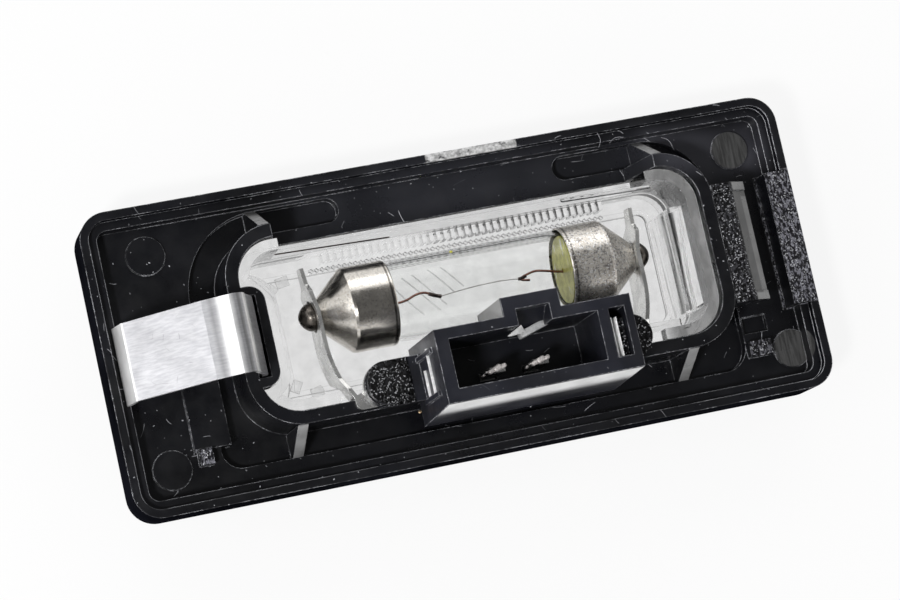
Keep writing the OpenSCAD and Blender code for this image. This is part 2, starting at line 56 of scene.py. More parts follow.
class Finish:
    """A material under construction: its nodes, its Object coordinates and its surface shader."""

    def __init__(self, name):
        self.material = bpy.data.materials.new(name)
        self.material.use_nodes = True
        self.tree = self.material.node_tree
        self.shader = self.tree.nodes["Principled BSDF"]
        self.place = self.add("ShaderNodeTexCoord").outputs["Object"]

    def add(self, kind, **settings):
        node = self.tree.nodes.new(kind)
        for key, value in settings.items():
            setattr(node, key, value)
        return node

    def link(self, source, target):
        self.tree.links.new(source, target)

    def put(self, value, socket):
        """A number or colour is set on the socket, and an output is linked to it."""
        if isinstance(value, bpy.types.NodeSocket):
            self.link(value, socket)
        else:
            socket.default_value = value

    def surface(self, **values):
        for name, value in values.items():
            self.put(value, self.shader.inputs[name.replace("_", " ")])

    def vector_math(self, operation, a, b, output="Vector"):
        node = self.add("ShaderNodeVectorMath", operation=operation)
        self.put(a, node.inputs[0])
        self.put(b, node.inputs[1])
        return node.outputs[output]

    def math(self, operation, a, b=0.0, clamp=False):
        node = self.add("ShaderNodeMath", operation=operation, use_clamp=clamp)
        self.put(a, node.inputs[0])
        self.put(b, node.inputs[1])
        return node.outputs[0]

    def stretch(self, scale, turn=(0, 0, 0)):
        """Object coordinates in millimetres, scaled along each axis."""
        node = self.add("ShaderNodeMapping")
        self.link(self.place, node.inputs["Vector"])
        node.inputs["Scale"].default_value = [s / MM for s in scale]
        node.inputs["Rotation"].default_value = [math.radians(a) for a in turn]
        return node.outputs["Vector"]

    def noise(self, size, detail=3.0, rough=0.55, stretch=(1, 1, 1), turn=(0, 0, 0)):
        """Noise whose blotches are about size millimetres across."""
        node = self.add("ShaderNodeTexNoise")
        self.link(self.stretch([s / size for s in stretch], turn), node.inputs["Vector"])
        node.inputs["Scale"].default_value = 1.0
        node.inputs["Detail"].default_value = detail
        node.inputs["Roughness"].default_value = rough
        return node.outputs["Fac"]

    def cells(self, size):
        """Distance to the nearest of points that lie about size millimetres apart."""
        node = self.add("ShaderNodeTexVoronoi")
        self.link(self.stretch([1 / size] * 3), node.inputs["Vector"])
        node.inputs["Scale"].default_value = 1.0
        return node.outputs["Distance"]

    def remap(self, value, low, high, to_low=0.0, to_high=1.0):
        """A smooth step from one range to another."""
        node = self.add("ShaderNodeMapRange", interpolation_type="SMOOTHSTEP")
        self.put(value, node.inputs["Value"])
        node.inputs["From Min"].default_value = low
        node.inputs["From Max"].default_value = high
        node.inputs["To Min"].default_value = to_low
        node.inputs["To Max"].default_value = to_high
        return node.outputs["Result"]

    def mix(self, fac, a, b):
        node = self.add("ShaderNodeMix", data_type="RGBA")
        self.put(fac, node.inputs["Factor"])
        self.put(a, node.inputs[6])
        self.put(b, node.inputs[7])
        return node.outputs[2]

    def axes(self):
        """The three Object coordinates in millimetres."""
        node = self.add("ShaderNodeSeparateXYZ")
        self.link(self.place, node.inputs[0])
        return [self.math("MULTIPLY", out, 1 / MM) for out in node.outputs]

    def inside(self, xyz, low, high, soft=0.08):
        """1 inside a box in millimetres, 0 outside; None leaves a side open."""
        result = None
        for value, lo, hi in zip(xyz, low, high):
            for edge, before, after in ((lo, 0.0, 1.0), (hi, 1.0, 0.0)):
                if edge is None:
                    continue
                part = self.remap(value, edge - soft, edge + soft, before, after)
                result = part if result is None else self.math("MULTIPLY", result, part)
        return result

    def flat_place(self):
        """Object coordinates with no height."""
        return self.vector_math("MULTIPLY", self.place, (1.0, 1.0, 0.0))

    def soft_edges(self, radius):
        """The normal of edges that are broken by a radius in millimetres."""
        node = self.add("ShaderNodeBevel", samples=4)
        node.inputs["Radius"].default_value = radius * MM
        return node.outputs["Normal"]

    def facing(self):
        """The true normal's three parts."""
        node = self.add("ShaderNodeSeparateXYZ")
        self.link(self.add("ShaderNodeNewGeometry").outputs["Normal"], node.inputs[0])
        return list(node.outputs)

    def edge_mask(self, softened, sharp=0.72, start=0.985):
        """1 along an edge and 0 on the flat, from the softened normal."""
        true = self.add("ShaderNodeNewGeometry").outputs["Normal"]
        return self.remap(self.vector_math("DOT_PRODUCT", softened, true, "Value"), sharp, start, 1.0, 0.0)

    def marks(self, size, length, width, share, bow=0.0):
        """Short marks in the plan: one to a cell of size mm, at its own angle, in a share of the cells."""
        node = self.add("ShaderNodeTexVoronoi", voronoi_dimensions="2D")
        place = self.stretch([1 / size] * 3)
        self.link(place, node.inputs["Vector"])
        node.inputs["Scale"].default_value = 1.0
        local = self.add("ShaderNodeSeparateXYZ")
        self.link(self.vector_math("SUBTRACT", place, node.outputs["Position"]), local.inputs[0])
        chance = self.add("ShaderNodeSeparateColor")
        self.link(node.outputs["Color"], chance.inputs[0])
        angle = self.math("MULTIPLY", chance.outputs[0], 2 * math.pi)
        cos, sin = self.math("COSINE", angle), self.math("SINE", angle)
        x, y = local.outputs[0], local.outputs[1]
        u = self.math("ADD", self.math("MULTIPLY", x, cos), self.math("MULTIPLY", y, sin))
        v = self.math("SUBTRACT", self.math("MULTIPLY", y, cos), self.math("MULTIPLY", x, sin))
        lean = self.math("MULTIPLY", self.math("SUBTRACT", chance.outputs[1], 0.5), bow)
        v = self.math("ADD", v, self.math("MULTIPLY", self.math("MULTIPLY", u, u), lean))
        half_l, half_w = length / size / 2, width / size / 2
        along = self.remap(self.math("ABSOLUTE", u), half_l * 0.7, half_l, 1.0, 0.0)
        across = self.remap(self.math("ABSOLUTE", v), half_w * 0.5, half_w * 1.3, 1.0, 0.0)
        chosen = self.remap(chance.outputs[2], 1 - share - 0.01, 1 - share + 0.01)
        return self.math("MULTIPLY", self.math("MULTIPLY", along, across), chosen)

    def any_of(self, masks):
        result = masks[0]
        for mask in masks[1:]:
            result = self.math("MAXIMUM", result, mask)
        return result

    def all_of(self, masks):
        result = masks[0]
        for mask in masks[1:]:
            result = self.math("MULTIPLY", result, mask)
        return result

    def bump(self, height, strength, distance, after=None):
        """distance is in millimetres."""
        node = self.add("ShaderNodeBump")
        self.put(height, node.inputs["Height"])
        node.inputs["Strength"].default_value = strength
        node.inputs["Distance"].default_value = distance * MM
        if after is not None:
            self.link(after, node.inputs["Normal"])
        return node.outputs["Normal"]


def grey(v):
    return (v, v, v, 1.0)


def times(tone, factor):
    """A colour made lighter or darker."""
    return tuple(c * factor for c in tone[:3]) + (1.0,)


# The housing's rough spark-eroded patches, with tone and share of painted glints, and its gate mark, in
# millimetres
ROUGH_ON_HOUSING = [
    ((33.3, -6.6, 5.6), (36.6, 7.3, None), 0.045, 0.55),
    ((26.7, -5.8, 11.3), (28.9, 6.6, None), 0.010, 0.60),
    ((-29.0, -11.0, 6.0), (-27.3, -9.1, None), 0.060, 1.0),
    ((28.0, -11.1, 6.0), (31.2, -9.0, None), 0.030, 0.9),
]
GATE_ON_HOUSING = [((-0.7, 14.35, 8.15), (8.8, None, None))]
# Painted highlights on the slopes, pale for the light they catch, with their tone: gussets above and below,
# and the nose
PALE_ON_HOUSING = [
    ((-25.0, 10.7, 4.0), (27.0, 14.5, 11.7), 0.34),
    ((-25.0, -14.0, 4.0), (27.0, -9.3, 11.7), 0.34),
    ((28.8, -5.9, 8.6), (31.0, 6.7, 11.8), 0.075),
    ((29.9, -5.0, 8.6), (30.6, 5.0, 11.8), 0.16),
    ((26.6, 5.7, 8.6), (31.0, 6.9, 11.8), 0.20),
    ((26.6, -6.1, 8.6), (31.0, -5.0, 11.8), 0.20),
]
# Painted sheen, lighter black for a mirrored soft light: trough and ledge above the window, and floor at the
# upper right
SHEEN_ON_HOUSING = [
    ((-16.0, 9.8, 3.0), (24.0, 14.2, 12.0), (0.028, 0.029, 0.036, 1.0)),
    ((22.0, 8.5, 4.8), (34.4, 13.4, 12.0), (0.10, 0.10, 0.12, 1.0)),
]
# Painted highlights: where the rim's edges get bright highlight lines painted on, and how much
BRIGHT_EDGES = [
    ((33.6, 7.3, 5.3), (35.8, 14.1, None), 0.95),
    ((33.6, -14.0, 5.3), (35.8, -7.4, None), 0.9),
    ((-35.9, -13.5, 5.3), (-33.8, 13.0, None), 0.7),
    ((-33.0, -14.6, 5.3), (33.0, -12.8, None), 0.45),
    ((-27.5, 3.0, 2.0), (-15.0, 13.5, 12.0), 0.6),
    ((24.5, 9.0, 9.0), (26.8, 13.0, 12.0), 0.5),
]
# The two right ejector marks, painted lighter than the floor round them as a reflection: middle and radius
BRIGHT_MARKS = [(31.5, 10.6, 1.95), (33.2, -10.6, 1.95)]
# The connector's rough bosses, with tone and share of painted glints
ROUGH_ON_CARRIER = [
    ((-13.0, -9.6, 13.0), (-8.0, -4.8, 15.5), 0.003, 0.50),
    ((12.9, -9.6, 13.0), (17.0, -4.8, 15.5), 0.003, 0.70),
]


def moulded_black(name, tone, rough_patches, dust=1.0, base_rough=0.3, gate=(), pale=(), walls=(),
                   sheen=(), dark_sides=None, bright_marks=(), edges=()):
    """Satin black plastic: faint grain, dust, scratches, spark-eroded patches, and painted edge highlights,
    glints, sheen and light on slopes, walls and discs.
    """
    f = Finish(name)
    xyz = f.axes()
    nx, ny, nz = f.facing()
    softened = f.soft_edges(0.14)
    colour = f.mix(f.remap(f.noise(9.0, 4.0), 0.35, 0.7), tone, times(tone, 2.2))
    # Painted sheen: a cloudy lighter tone inside each box
    for low, high, shade in sheen:
        cloud = f.math("MULTIPLY", f.inside(xyz, low, high, 1.6),
                       f.remap(f.noise(11.0, 1.0), 0.25, 0.75, 0.2, 1.0))
        colour = f.mix(cloud, colour, shade)
    rough = f.remap(f.noise(3.5, 5.0, 0.65), 0.3, 0.7, base_rough - 0.06, base_rough + 0.12)
    flat = f.remap(nz, 0.4, 0.7)

    # Painted edge highlights: edges are coloured pale in short bright stretches, standing for the light they
    # catch
    edge_highlight = f.all_of([
        f.edge_mask(softened, 0.80, 0.995),
        f.remap(f.noise(2.4, 3.0, 0.6), 0.40, 0.60, 0.10, 1.0),
        f.remap(f.noise(0.3, 2.0), 0.38, 0.6, 0.25, 1.0),
    ])
    line = f.math("MULTIPLY", f.edge_mask(softened, 0.86, 0.995),
                  f.remap(f.noise(1.6, 3.0, 0.6), 0.36, 0.50, 0.15, 1.0))
    for low, high, level in edges:
        edge_highlight = f.math("MAXIMUM", edge_highlight, f.all_of([line, f.inside(xyz, low, high, 0.3), level]))
    colour = f.mix(edge_highlight, colour, (0.78, 0.79, 0.84, 1.0))

    # Dust specks, short scratches and curled lint on what faces up
    lint = f.any_of([
        f.marks(1.0, 0.10, 0.08, 0.14),
        f.marks(2.1, 0.20, 0.10, 0.20),
        f.marks(2.9, 0.8, 0.05, 0.25, 3.0),
        f.marks(5.3, 1.6, 0.06, 0.30, 2.0),
    ])
    lint = f.all_of([lint, flat, f.remap(f.noise(6.0, 3.0), 0.40, 0.6, 0.2, 1.0)])
    colour = f.mix(f.math("MULTIPLY", lint, dust, clamp=True), colour, (0.62, 0.63, 0.67, 1.0))

    # Discs on the plate's floor: brushed grain, and a painted reflection that makes them lighter
    for mark_x, mark_y, radius in bright_marks:
        away = f.vector_math("DISTANCE", f.flat_place(), (mark_x * MM, mark_y * MM, 0.0), "Value")
        disc = f.all_of([
            f.remap(away, (radius - 0.1) * MM, radius * MM, 1.0, 0.0),
            flat,
            f.remap(xyz[2], 5.0, 5.5),
        ])
        brushed = f.remap(f.noise(0.5, 3.0, stretch=(2.0, 0.2, 1.0), turn=(0, 0, -35)), 0.3, 0.7)
        colour = f.mix(disc, colour, f.mix(brushed, grey(0.040), grey(0.105)))
    # Painted highlights on slopes: what is neither flat nor upright inside a box is coloured pale
    slope = f.math("MULTIPLY", f.remap(nz, 0.2, 0.3), f.remap(nz, 0.93, 0.985, 1.0, 0.0))
    for low, high, shade in pale:
        where = f.math("MULTIPLY", f.inside(xyz, low, high), slope)
        shade = f.mix(f.remap(f.noise(2.0, 4.0), 0.3, 0.7), grey(shade * 0.8), grey(shade * 1.15))
        colour = f.mix(where, colour, shade)
    # Painted reflection on upright walls: pale inside a box, on the side that faces the given way
    for low, high, (part, sign), shade in walls:
        side = f.remap(f.math("MULTIPLY", (nx, ny, nz)[part], float(sign)), 0.55, 0.8)
        where = f.math("MULTIPLY", f.inside(xyz, low, high), side)
        cloudy = f.remap(f.noise(2.6, 4.0, stretch=(1.0, 1.0, 0.5)), 0.3, 0.7)
        shade = f.mix(cloudy, grey(shade * 0.82), grey(shade))
        colour = f.mix(where, colour, shade)

    normal = f.bump(f.noise(0.16, 2.0, 0.6), 0.25, 0.012, after=softened)
    up = f.remap(nz, 0.1, 0.4)
    patches = [f.math("MULTIPLY", f.inside(xyz, low, high), up) for low, high, _, _ in rough_patches]
    patch = f.any_of(patches)
    crust = f.math("ADD", f.cells(0.24), f.noise(0.35, 4.0, 0.75))
    normal = f.bump(f.math("MULTIPLY", crust, patch), 0.6, 0.12, after=normal)
    # Painted glints: pale dots on the rough patches stand for facets catching the light
    glint_dots = f.any_of([f.marks(0.27, 0.24, 0.085, 0.5), f.marks(0.38, 0.14, 0.11, 0.5)])
    glint_dots = f.all_of([glint_dots, patch, f.remap(f.noise(0.7, 3.0, 0.7), 0.40, 0.62, 0.10, 1.0)])
    for where, (_, _, shade, glint_share) in zip(patches, rough_patches):
        grit = f.remap(f.noise(0.22, 2.0, 0.6, stretch=(1.0, 0.45, 1.0), turn=(0, 0, 35)), 0.47, 0.62)
        dark = (shade * 0.25, shade * 0.25, shade * 0.3, 1.0)
        light = (shade * 4.0, shade * 4.0, shade * 4.6, 1.0)
        colour = f.mix(where, colour, f.mix(grit, dark, light))
        colour = f.mix(f.all_of([glint_dots, where, glint_share]), colour, (0.85, 0.86, 0.90, 1.0))
    if gate:
        torn = f.math("MULTIPLY", f.any_of([f.inside(xyz, low, high) for low, high in gate]),
                      f.remap(f.noise(0.9, 4.0, 0.7, stretch=(0.5, 1.0, 1.0)), 0.36, 0.44))
        colour = f.mix(torn, colour, f.mix(f.remap(f.noise(0.5, 3.0), 0.3, 0.7), grey(0.28), grey(0.78)))
    f.surface(Base_Color=colour, Roughness=rough, Normal=normal, IOR=1.5)
    # Rough patches shine less, and so do the spark-eroded outer sides, which don't mirror the table
    shine = f.math("SUBTRACT", 0.5, f.math("MULTIPLY", patch, 0.33))
    if dark_sides is not None:
        low, high = dark_sides
        shine = f.math("MULTIPLY", shine, f.any_of([f.inside(xyz, low, high, 0.15), f.remap(nz, 0.3, 0.6)]))
    f.surface(Specular_IOR_Level=shine)
    return f.material


LENS_IOR = 1.49


def clear_moulding(name, tint=1.0, grey_walls=True):
    """Clear polycarbonate: painted shade on its edges, the walls under the collar, top faces, prisms and
    corner, and a clear window.
    """
    f = Finish(name)
    xyz = f.axes()
    nx, _, nz = f.facing()
    softened = f.soft_edges(0.10)
    haze = f.remap(f.noise(2.2, 5.0, 0.6), 0.35, 0.75, 0.02, 0.10)
    shade = f.mix(f.remap(f.noise(1.6, 4.0), 0.3, 0.75), grey(0.93 * tint), grey(0.80 * tint))
    if grey_walls:
        # Painted shade on the wall under the collar, which is seen through its whole height: darker towards
        # the right end
        tall = f.remap(xyz[2], 4.6, 5.4)
        right = f.remap(xyz[0], 17.5, 20.5)
        streaks = f.remap(f.noise(1.4, 3.0, 0.55, stretch=(1.0, 0.35, 0.2)), 0.38, 0.62)
        wall = f.mix(streaks, (0.52, 0.525, 0.53, 1.0), (0.86, 0.865, 0.87, 1.0))
        shade = f.mix(f.math("MULTIPLY", tall, right), shade, wall)
        # Painted shade on the top face at the right end
        top_face = f.all_of([f.remap(nz, 0.6, 0.8), f.remap(xyz[2], 9.9, 10.3), right])
        shade = f.mix(top_face, shade, f.mix(streaks, grey(0.06), grey(0.14)))
        # Painted shade, light grey, on the top face at the left end
        left_top = f.all_of([f.remap(nz, 0.6, 0.8), tall, f.remap(xyz[0], -17.0, -16.0, 1.0, 0.0)])
        shade = f.mix(left_top, shade, f.mix(streaks, grey(0.74), grey(0.92)))
        # Painted shade on the low wall's top
        low_top = f.inside(xyz, (None, 7.9, 4.9), (17.5, None, 6.0))
        shade = f.mix(f.math("MULTIPLY", low_top, 0.7), shade, grey(0.55))
        # Painted shade on the upright faces of the prisms, faint on the left and dark on the right
        upright = f.remap(f.math("ABSOLUTE", nx), 0.5, 0.8)
        prism_shade = f.all_of([f.inside(xyz, (-12.6, 6.6, 3.0), (18.4, 8.35, 5.7)), upright,
                           f.remap(xyz[0], -8.0, 12.0, 0.12, 1.0)])
        shade = f.mix(prism_shade, shade, grey(0.03))
    # Painted shade: dark lines along the edges, for the dark lines that clear plastic shows there
    edge_shade = f.math("MULTIPLY", f.edge_mask(softened), f.remap(f.noise(3.0, 3.0), 0.35, 0.6, 0.25, 0.9))
    bend = LENS_IOR
    if grey_walls:
        # Painted shade in the corner at the upper right: dark patches broken up like facets
        corner_shade = f.all_of([
            f.inside(xyz, (18.0, 5.0, 4.6), (None, None, None), 0.7),
            f.remap(f.math("ABSOLUTE", nz), 0.6, 0.8, 1.0, 0.0),
        ])
        broken = f.remap(f.noise(1.3, 1.0, 0.5, stretch=(1.0, 1.0, 0.45), turn=(0, 0, 35)), 0.48, 0.53)
        shade = f.mix(f.math("MULTIPLY", corner_shade, broken), shade, grey(0.06))
        # The prisms on the left hardly show
        left_ribs = f.math("MULTIPLY", f.inside(xyz, (-14.0, 6.6, None), (18.4, 8.2, 5.2)),
                           f.remap(xyz[0], -6.0, 10.0, 1.0, 0.0))
        edge_shade = f.math("MULTIPLY", edge_shade, f.math("SUBTRACT", 1.0, f.math("MULTIPLY", left_ribs, 0.7)))
        bend = f.math("SUBTRACT", LENS_IOR, f.math("MULTIPLY", left_ribs, 0.27))
    shade = f.mix(edge_shade, shade, grey(0.30))
    f.surface(Base_Color=shade, Roughness=haze, Normal=f.bump(f.noise(1.1, 3.0), 0.10, 0.03, after=softened))
    f.surface(Specular_IOR_Level=0.35, Transmission_Weight=1.0, IOR=bend)
    return f.material


# Details of the lens stand just above its inner floor, and the rib at its end has these two corners
ON_FLOOR = 1.51
END_RIB = ((22.5, -5.15, ON_FLOOR), (24.0, 5.4, 9.2))


def end_wall_finish(name):
    """The clear rib at the lens's end: see-through, with a thin painted shade line on its edge and white
    streaks inside.
    """
    f = Finish(name)
    x, _, z = f.axes()
    left, top = END_RIB[0][0], END_RIB[1][2]
    inner = f.remap(f.facing()[0], -0.8, -0.5, 1.0, 0.0)
    streaks = f.remap(f.noise(1.5, 2.0, 0.5, stretch=(1.0, 0.12, 0.8)), 0.50, 0.62)
    white = f.all_of([inner, streaks, f.remap(z, 2.2, 3.0), f.remap(z, top - 1.2, top - 0.4, 1.0, 0.0), 0.75])
    # Painted shade: a thin dark line along its upper left edge
    rim_shade = f.math("MULTIPLY", f.remap(z, top - 0.25, top - 0.15),
                 f.remap(x, left + 0.16, left + 0.26, 1.0, 0.0))
    shade = f.mix(rim_shade, grey(0.97), grey(0.10))
    f.surface(Base_Color=shade, Roughness=f.remap(f.noise(1.8, 3.0), 0.3, 0.7, 0.02, 0.08),
              Transmission_Weight=f.remap(white, 0.0, 1.0, 1.0, 0.25))
    f.surface(Specular_IOR_Level=0.2, IOR=1.08)
    return f.material


def bulb_glass_finish(name):
    """Thin clear glass, a little uneven."""
    f = Finish(name)
    f.surface(Base_Color=(0.985, 0.99, 0.985, 1.0),
              Roughness=f.remap(f.noise(3.0, 3.0), 0.3, 0.8, 0.0, 0.05),
              Normal=f.bump(f.noise(2.6, 2.0), 0.06, 0.03))
    f.surface(Specular_IOR_Level=0.15, Transmission_Weight=1.0, IOR=1.30)
    return f.material


def strip_steel(name):
    """Satin rolled strip: fine grain along the leaf, faint stamped dashes, and painted reflections: grey
    bands and white highlights round the bend and at the left end.
    """
    f = Finish(name)
    xyz = f.axes()
    lines = f.noise(0.30, 3.0, 0.6, stretch=(0.25, 1.6, 0.25))
    colour = f.mix(f.remap(lines, 0.3, 0.7), (0.37, 0.37, 0.39, 1.0), (0.47, 0.47, 0.485, 1.0))
    dashes = f.all_of([
        f.marks(0.9, 0.7, 0.07, 0.55, 1.0),
        f.inside(xyz, (-32.6, -3.5, None), (-27.5, 3.4, None), 0.8),
        f.remap(f.noise(1.9, 2.0), 0.48, 0.56),
    ])
    colour = f.mix(f.math("MULTIPLY", dashes, 0.4), colour, grey(0.16))
    # Painted reflection: grey bands round the bend
    band = f.any_of([f.math("MULTIPLY", f.inside(xyz, (-26.5, None, 8.6), (-26.1, None, None), 0.25), 0.6),
                     f.inside(xyz, (-23.8, None, 8.6), (-23.45, None, None), 0.15)])
    colour = f.mix(f.math("MULTIPLY", band, 0.75), colour, grey(0.14))
    # Painted highlights: white bands round the bend and at the strip's left end
    bright = f.any_of([f.inside(xyz, (-25.7, None, 8.6), (-24.3, None, None), 0.3),
                       f.inside(xyz, (-23.2, None, 8.6), (-22.7, None, None), 0.15),
                       f.inside(xyz, (None, None, None), (-34.15, None, None), 0.1)])
    colour = f.mix(f.math("MULTIPLY", bright, 0.9), colour, (1.0, 1.0, 1.0, 1.0))
    rough = f.remap(f.noise(3.2, 4.0), 0.3, 0.7, 0.36, 0.48)
    f.surface(Base_Color=colour, Roughness=rough, Normal=f.bump(lines, 0.12, 0.02, after=f.soft_edges(0.08)))
    f.surface(Metallic=0.7)
    return f.material


def plated_strip(name):
    """Bright plated strip with darker edges."""
    f = Finish(name)
    colour = f.mix(f.remap(f.noise(2.2, 3.0), 0.35, 0.7), (0.70, 0.70, 0.69, 1.0), (0.86, 0.86, 0.84, 1.0))
    softened = f.soft_edges(0.08)
    colour = f.mix(f.math("MULTIPLY", f.edge_mask(softened, 0.8, 0.995), 0.5), colour, grey(0.16))
    f.surface(Base_Color=colour, Roughness=f.remap(f.noise(1.4, 3.0), 0.3, 0.7, 0.2, 0.34),
              Normal=f.bump(f.noise(0.9, 2.0), 0.05, 0.02, after=softened))
    f.surface(Metallic=0.85)
    return f.material


# Middle of the bulb along the lamp, in millimetres
BULB_X = sum(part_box("bulb_glass")[k].x for k in (0, 1)) / 2 / MM


def cap_finish(name):
    """Nickel-plated cap: painted shade in its groove, dark tip, soft stains, turned lines, and more specks
    and painted glints on the right cap.
    """
    f = Finish(name)
    softened = f.soft_edges(0.08)
    turned = f.noise(0.12, 2.0, 0.5, stretch=(1.0, 0.03, 0.03))
    stain = f.remap(f.noise(2.6, 3.0, 0.55), 0.48, 0.75)
    colour = f.mix(stain, (0.70, 0.665, 0.61, 1.0), (0.52, 0.475, 0.42, 1.0))
    specks = f.any_of([f.marks(0.7, 0.10, 0.09, 0.45), f.marks(1.3, 0.13, 0.10, 0.4)])
    colour = f.mix(f.math("MULTIPLY", specks, 0.6), colour, (0.10, 0.085, 0.07, 1.0))
    along = f.math("SUBTRACT", f.axes()[0], BULB_X)
    from_middle = f.math("ABSOLUTE", along)
    on_right = f.remap(along, 0.0, 1.0, 0.25, 0.85)
    # Painted shade: a dark line in the groove near each cap's rim
    groove_shade = f.math("MULTIPLY", f.remap(from_middle, 9.22, 9.30), f.remap(from_middle, 9.42, 9.50, 1.0, 0.0))
    colour = f.mix(f.math("MULTIPLY", groove_shade, 0.8), colour, (0.06, 0.05, 0.04, 1.0))
    pits = f.remap(f.noise(0.26, 2.0, 0.6), 0.52, 0.60)
    colour = f.mix(f.all_of([pits, on_right, 0.75]), colour, (0.10, 0.095, 0.11, 1.0))
    colour = f.mix(f.math("MULTIPLY", f.remap(from_middle, 16.3, 16.8), 0.9), colour, (0.07, 0.05, 0.04, 1.0))
    # Painted glints: white specks on the right cap, standing for light that its pitted plating catches
    glints = f.remap(f.noise(0.20, 2.0, 0.6), 0.56, 0.62)
    duller = f.remap(along, -1.0, 1.0, 0.0, 0.08)
    rough = f.math("ADD", f.remap(f.noise(1.2, 4.0, 0.6), 0.3, 0.7, 0.17, 0.27), duller)
    normal = f.bump(turned, 0.05, 0.012, after=softened)
    f.surface(Base_Color=f.mix(f.math("MULTIPLY", glints, on_right), colour, grey(0.95)), Roughness=rough,
              Normal=f.bump(f.noise(0.22, 3.0, 0.6), 0.30, 0.012, after=normal))
    f.surface(Metallic=f.remap(along, -1.0, 1.0, 1.0, 0.74))
    return f.material


def cement_finish(name):
    """Yellow cement with painted pale highlights."""
    f = Finish(name)
    colour = f.mix(f.remap(f.noise(0.9, 4.0), 0.3, 0.7), (0.50, 0.48, 0.02, 1.0), (0.80, 0.78, 0.14, 1.0))
    # Painted highlights: pale spots on the cement
    cement_highlight = f.remap(f.noise(1.1, 3.0, 0.6, stretch=(1.0, 0.35, 1.0)), 0.60, 0.68)
    colour = f.mix(cement_highlight, colour, (0.95, 0.95, 0.82, 1.0))
    f.surface(Base_Color=colour, Roughness=0.3, Normal=f.bump(f.noise(0.6, 3.0), 0.5, 0.06))
    return f.material


def metal(name, dark, light, rough=(0.25, 0.5)):
    """Plain metal that varies between a dark and a light tone."""
    f = Finish(name)
    colour = f.mix(f.remap(f.noise(0.7, 4.0), 0.3, 0.7), dark, light)
    f.surface(Base_Color=colour, Roughness=f.remap(f.noise(0.5, 3.0), 0.3, 0.7, *rough),
              Normal=f.bump(f.noise(0.25, 3.0), 0.2, 0.02))
    f.surface(Metallic=1.0)
    return f.material


# How bright the paper is through the glass and the lens
GLASS_LEVEL = 0.98
# The share of the paper that glows where camera, glass or metal sees it; the rest takes the shadow
GLOW_SHARE = 0.86


def paper_floor(name):
    """Plain pale floor: white where the camera, glass or metal sees it, and shaded by the object."""
    f = Finish(name)
    out = f.tree.nodes["Material Output"]
    tone = f.mix(f.remap(f.noise(40.0, 3.0), 0.3, 0.7), grey(0.93), grey(0.96))
    f.surface(Base_Color=tone, Roughness=0.9)
    glow = f.add("ShaderNodeEmission")
    glow.inputs["Color"].default_value = grey(1.0)
    path = f.add("ShaderNodeLightPath")
    seen = f.any_of([path.outputs[ray] for ray in ("Is Camera Ray", "Is Transmission Ray", "Is Glossy Ray")])
    f.link(f.remap(path.outputs["Is Transmission Ray"], 0.0, 1.0, 1.0, GLASS_LEVEL), glow.inputs["Strength"])
    blend = f.add("ShaderNodeMixShader")
    f.link(f.math("MULTIPLY", seen, GLOW_SHARE), blend.inputs[0])
    f.link(f.shader.outputs[0], blend.inputs[1])
    f.link(glow.outputs[0], blend.inputs[2])
    f.link(blend.outputs[0], out.inputs["Surface"])
    return f.material


def pale_bright(name, tone, rough, metal_share=0.0):
    """A small bright piece: a painted glint on a terminal, a painted highlight on the ramp, a ridge or a rib,
    or lint or a burr.
    """
    f = Finish(name)
    colour = f.mix(f.remap(f.noise(0.5, 3.0), 0.3, 0.7), tone, times(tone, 0.7))
    f.surface(Base_Color=colour, Roughness=rough, Normal=f.bump(f.noise(0.2, 3.0), 0.3, 0.02))
    f.surface(Metallic=metal_share)
    return f.material


BLACK = (0.0030, 0.0032, 0.0045, 1.0)
CARRIER_BLACK = (0.0085, 0.0090, 0.0130, 1.0)
# Painted reflection on the connector's walls, with the axis and way that they face: the long outer one, and
# the key's left
PALE_WALLS = [
    ((-6.8, -11.3, 9.9), (13.2, -9.9, 21.0), (1, -1), 0.92),
    ((-0.2, -3.9, 12.0), (0.7, -1.9, 21.2), (0, -1), 0.34),
]
# The wall in the coding slot is spark-eroded all over, with painted glints
SLOT_WALL = [((8.0, -12.0, 9.0), (14.0, -3.0, 22.0), 0.007, 1.0)]
# Inside these limits the housing shines, and outside them only what faces up
SHINING = ((-34.6, -13.6, None), (34.6, 13.6, None))

finishes = {
    "housing_plastic": moulded_black("housing_black", BLACK, ROUGH_ON_HOUSING,
                                     gate=GATE_ON_HOUSING, pale=PALE_ON_HOUSING, sheen=SHEEN_ON_HOUSING,
                                     bright_marks=BRIGHT_MARKS, edges=BRIGHT_EDGES,
                                     dark_sides=SHINING),
    "carrier_plastic": moulded_black("carrier_black", CARRIER_BLACK, ROUGH_ON_CARRIER,
                                     dust=0.6, base_rough=0.36, walls=PALE_WALLS),
    "clear_plastic": clear_moulding("lens_clear"),
    "spring_steel": strip_steel("clip_steel"),
    "contact_metal": plated_strip("contact_plating"),
    "bulb_glass": bulb_glass_finish("bulb_clear"),
    "cap_metal": cap_finish("cap_nickel"),
    "cement": cement_finish("cap_cement"),
    "solder": metal("tip_solder", (0.08, 0.07, 0.06, 1), (0.22, 0.2, 0.18, 1)),
    "copper_wire": metal("support_copper", (0.20, 0.085, 0.06, 1), (0.46, 0.25, 0.20, 1), (0.3, 0.5)),
    "filament_wire": metal("filament_grey", (0.30, 0.29, 0.28, 1), (0.55, 0.54, 0.52, 1), (0.4, 0.6)),
}
